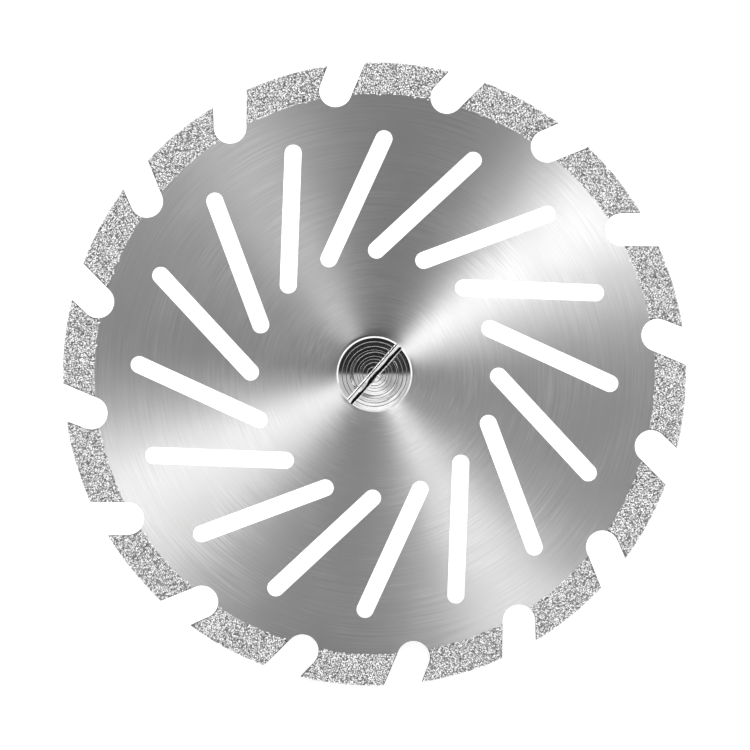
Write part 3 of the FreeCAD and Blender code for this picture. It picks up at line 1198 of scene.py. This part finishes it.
    def make_lip(self, edge: SlotEdge) -> Object:
        """Model the uneven burr along one edge of the slot.

        Args:
            edge: The edge that it runs along.

        Returns:
            The burr.
        """
        side = edge.value
        inner, outer = self.slot_half * self.lip_root, self.slot_half + self.lip_width
        crest = self.slot_half + self.lip_width * self.lip_crest
        base = -self.lip_height - self.ring_depth * self.lip_foot
        outline = [
            (inner * side, base),
            (inner * side, -self.lip_height * self.lip_shoulder),
            (crest * side, -self.stray / 2),
            (outer * side, -self.lip_height - self.ring_depth * self.lip_toe),
            (outer * side, base),
        ]
        end = self.head_radius - self.bevel * self.lip_inset
        share = 1.0 if edge is SlotEdge.LOW else self.smooth_side
        return self.make_bar(outline, math.sqrt(end ** 2 - outer ** 2),
                             lambda p: p.z > self.top + base / 2, self.stray * share)

    def in_painted_shade(self, face: MeshPolygon) -> bool:
        """Say whether a face is painted as shade: the slot's high wall or its groove.

        Args:
            face: A face of the cut screw, with the slot along X.

        Returns:
            True if it has the sawn finish with its near-black painted shade.
        """
        across, depth = face.center.y, self.top - face.center.z
        in_slot = abs(across) < self.slot_half + self.stray and \
            depth < self.groove_depth * self.painted_shade_reach
        wall = across > self.slot_half - self.wall_lean * self.painted_shade_wall and \
            depth > self.lip_height * self.painted_shade_wall_top
        groove = across < self.groove_width - self.slot_half + self.stray and \
            depth > self.slot_floor + self.slot_fall * self.painted_shade_groove_top
        return in_slot and (wall or groove)

    def build(self, steel: Material, sawn: SawnSteelPaintedShade) -> None:
        """Build the screw and put it in the place of the frame's solid.

        Args:
            steel: The turned screw's material.
            sawn: The slot's finish, near black as painted shade.
        """
        screw = self.make_blank()
        tools = [(self.make_lip(SlotEdge.HIGH), "UNION"),
                 (self.make_lip(SlotEdge.LOW), "UNION"),
                 (self.make_cutter(), "DIFFERENCE")]
        for tool, operation in tools:
            cut = screw.modifiers.new("cut", "BOOLEAN")
            cut.operation = operation
            cut.solver = "EXACT"
            cut.object = tool
        apply_modifiers(screw)
        for tool, _ in tools:
            bpy.data.objects.remove(tool)
        dress(screw, [steel, sawn.make(self.slot_turn_deg)])
        # The slot's high wall and groove get the near-black finish of painted shade.
        for face in screw.data.polygons:
            face.material_index = int(self.in_painted_shade(face))
        screw.data.transform(Matrix.Rotation(math.radians(self.slot_turn_deg), 4, "Z"))
        shade_smooth(screw, self.smooth_deg)
        lay_in_place(screw)
        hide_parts(self.node)
        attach(screw, "root")
        LOG.info("%s: %d faces", screw.name, len(screw.data.polygons))


def hang_lamp(name: str, place: Vector, along: Vector, size: tuple[float, float],
              radiance: float) -> Object:
    """Hang a rectangular lamp that looks at the disc's middle.

    Args:
        name: The lamp's name.
        place: Its middle.
        along: Where its length points, as nearly as it can.
        size: Its length and width, in metres.
        radiance: The light that each part of it gives.

    Returns:
        The lamp, which the camera doesn't see.
    """
    lamp = bpy.data.lights.new(name, "AREA")
    lamp.shape = "RECTANGLE"
    lamp.size, lamp.size_y = size
    lamp.energy = radiance * math.pi * size[0] * size[1]
    holder = bpy.data.objects.new(name, lamp)
    bpy.context.scene.collection.objects.link(holder)
    back = (place - TOOL.centre).normalized()
    side = (along - back * along.dot(back)).normalized()
    turn = Matrix((side, back.cross(side), back)).transposed()
    holder.matrix_world = Matrix.Translation(place) @ turn.to_4x4()
    holder.visible_camera = False
    return holder


@dataclass(frozen=True)
class StripLamp:
    """A long softbox that points at the disc, laid out along one radius."""

    name: str
    azimuth: float            # in the photo, degrees anticlockwise from the right
    near: float               # its ends' offsets from the view's axis, in metres
    far: float
    distance: float           # along the view's axis, in metres
    width: float              # metres
    radiance: float

    def place(self) -> None:
        """Add the lamp to the scene."""
        radial = TOOL.photo_direction(self.azimuth)
        middle = (self.near + self.far) / 2
        place = TOOL.centre + TOOL.front * self.distance + radial * middle
        hang_lamp(self.name, place, radial, (self.far - self.near, self.width),
                  self.radiance)


@dataclass(frozen=True)
class SoftBox:
    """A large square lamp that lights matt surfaces and isn't mirrored in the metal."""

    name: str
    elevation: float          # of the line from the disc to the lamp, in degrees
    behind: bool              # on the far side of the disc from the camera
    distance: float           # metres
    side: float               # metres
    radiance: float

    def place(self) -> None:
        """Add the lamp to the scene."""
        angle = math.radians(self.elevation)
        ahead = Vector((0.0, math.cos(angle) * (1 if self.behind else -1), math.sin(angle)))
        lamp = hang_lamp(self.name, TOOL.centre + ahead * self.distance,
                         Vector((1.0, 0.0, 0.0)), (self.side, self.side), self.radiance)
        lamp.visible_glossy = False


@dataclass
class Studio:
    """Pale floor, soft light and the camera."""

    lens_mm: float = 200.0
    sensor_mm: float = 36.0
    clip_near: float = 0.05       # what the camera sees, in its distances from the disc
    clip_far: float = 50.0
    floor_side: float = 30.0
    floor_colour: str = "f2f2f2"
    floor_roughness: float = 0.9
    floor_glow: float = 0.45      # the floor is a light table
    room: float = 0.55            # radiance of the room above the backdrop
    backdrop: float = 1.0         # of the backdrop
    ring_light: float = 2.1       # of the ring light
    low_front: float = 1.0        # in front, below the lens
    high_front: float = 0.03      # in front, above the lens
    card: float = 0.079           # round the lens itself
    backdrop_top: float = 0.18    # the backdrop's height, as a sine
    ring_near: float = 0.16       # the ring light's edges, as cosines from the axis
    ring_far: float = 0.45
    card_reach: float = 0.92      # the card's edge, as a cosine from the axis
    blend: float = 0.03           # half the width of every soft edge
    lamps: tuple[StripLamp, ...] = (
        StripLamp("upper_right_strip", 38.3, 0.03, 0.085, 0.25, 0.02, 8.5),
        StripLamp("upper_right_fill", 36.0, 0.07, 0.20, 0.60, 0.07, 1.8),
        StripLamp("lower_left_strip", 202.3, 0.03, 0.085, 0.25, 0.02, 7.1),
        StripLamp("lower_right_strip", 300.8, 0.03, 0.085, 0.25, 0.024, 7.15),
        StripLamp("left_fill", 151.0, 0.07, 0.20, 0.60, 0.09, 1.05),
        StripLamp("right_fill", 357.0, 0.07, 0.20, 0.60, 0.09, 0.38),
    )
    softboxes: tuple[SoftBox, ...] = (
        SoftBox("floor_softbox", 72.0, True, 0.80, 0.9, 0.5),
        SoftBox("front_softbox", 30.0, False, 0.60, 0.4, 3.4),
    )

    def make_floor(self) -> None:
        """Lay the floor."""
        floor = add_square("floor", self.floor_side)
        # Matt white vinyl over a light table: even and pale, with the faintest shadows.
        material, _, _ = new_material("matt_white_sweep", {
            "Base Color": linear_from_hex(self.floor_colour),
            "Roughness": self.floor_roughness,
            "Specular IOR Level": 0.0,
            "Emission Color": WHITE,
            "Emission Strength": self.floor_glow,
        })
        floor.data.materials.append(material)

    def make_world(self) -> None:
        """Light the room in zones, each a soft-edged part of all directions.

        The disc's face mirrors a grey card round the lens. The slopes of the
        screw's rings mirror what lies round the card, dim above and pale below,
        and its bevel mirrors a ring light. A pale backdrop stands all round.
        """
        world = bpy.data.worlds.new("studio")
        bpy.context.scene.world = world
        world.use_nodes = True
        tree = world.node_tree
        direction = add_node(tree, "TexCoord", output="Generated")

        def beyond(axis: Vector, edge: float, low: NodeSocket | float,
                   high: NodeSocket | float) -> NodeSocket:
            """Change from one level to another where a direction's part passes an edge.

            Args:
                axis: The direction's part along this counts.
                edge: Where the change is.
                low: The level before it.
                high: The level beyond it.

            Returns:
                The level over all directions.
            """
            part = add_node(tree, "VectorMath", {0: direction, 1: axis}, "Value",
                            operation="DOT_PRODUCT")
            share = add_node(tree, "MapRange", {
                "Value": part,
                "From Min": edge - self.blend,
                "From Max": edge + self.blend,
            }, interpolation_type="SMOOTHSTEP")
            return add_node(tree, "Mix", {0: share, 2: low, 3: high})

        level = beyond(Vector((0.0, 0.0, 1.0)), self.backdrop_top, self.backdrop, self.room)
        level = beyond(TOOL.front, self.ring_near, level, self.ring_light)
        front = beyond(TOOL.photo_direction(90.0), 0.0, self.low_front, self.high_front)
        level = beyond(TOOL.front, self.ring_far, level, front)
        level = beyond(TOOL.front, self.card_reach, level, self.card)
        background = tree.nodes["Background"]
        background.inputs["Color"].default_value = WHITE
        tree.links.new(level, background.inputs["Strength"])

    def make_lamps(self) -> None:
        """Place the strips that the metal mirrors and the boxes that it doesn't."""
        for lamp in (*self.lamps, *self.softboxes):
            lamp.place()

    def make_camera(self) -> None:
        """Look straight at the disc's face, turned as in the photo."""
        camera = bpy.data.cameras.new("camera")
        camera.lens = self.lens_mm
        camera.sensor_width = self.sensor_mm
        holder = bpy.data.objects.new("camera", camera)
        bpy.context.scene.collection.objects.link(holder)
        metres_per_px = TOOL.rim_radius / DISC_RADIUS_PX
        distance = PHOTO_SIDE_PX * metres_per_px * self.lens_mm / self.sensor_mm
        right, up = TOOL.photo_direction(0.0), TOOL.photo_direction(90.0)
        aim = TOOL.centre + TOOL.front * TOOL.rim_front
        aim -= right * (DISC_CENTRE_PX[0] - PHOTO_SIDE_PX / 2) * metres_per_px
        aim += up * (DISC_CENTRE_PX[1] - PHOTO_SIDE_PX / 2) * metres_per_px
        turn = Matrix((right, up, TOOL.front)).transposed()
        holder.matrix_world = Matrix.Translation(aim + TOOL.front * distance) @ turn.to_4x4()
        camera.clip_start = distance * self.clip_near
        camera.clip_end = distance * self.clip_far
        bpy.context.scene.camera = holder

    def build(self) -> None:
        """Build the whole studio."""
        self.make_camera()
        self.make_floor()
        self.make_world()
        self.make_lamps()
        bpy.context.scene.view_settings.view_transform = "Standard"
        LOG.info("studio: floor, lamps and camera")


def main() -> None:
    """Build the tool's looks around the frame."""
    logging.basicConfig(level=logging.INFO, format="%(message)s")
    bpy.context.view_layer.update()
    Studio().build()
    DiscCore().dress(SHEET_STEEL.make())
    GritBand().build(NickelBond().make(), DiamondGrit().make())
    # The slot's finish is painted near black as shade.
    ClampScrew().build(SCREW_STEEL.make(), SawnSteelPaintedShade())
    Mandrel().dress(MANDREL_STEEL.make())


if __name__ == "__main__":
    main()
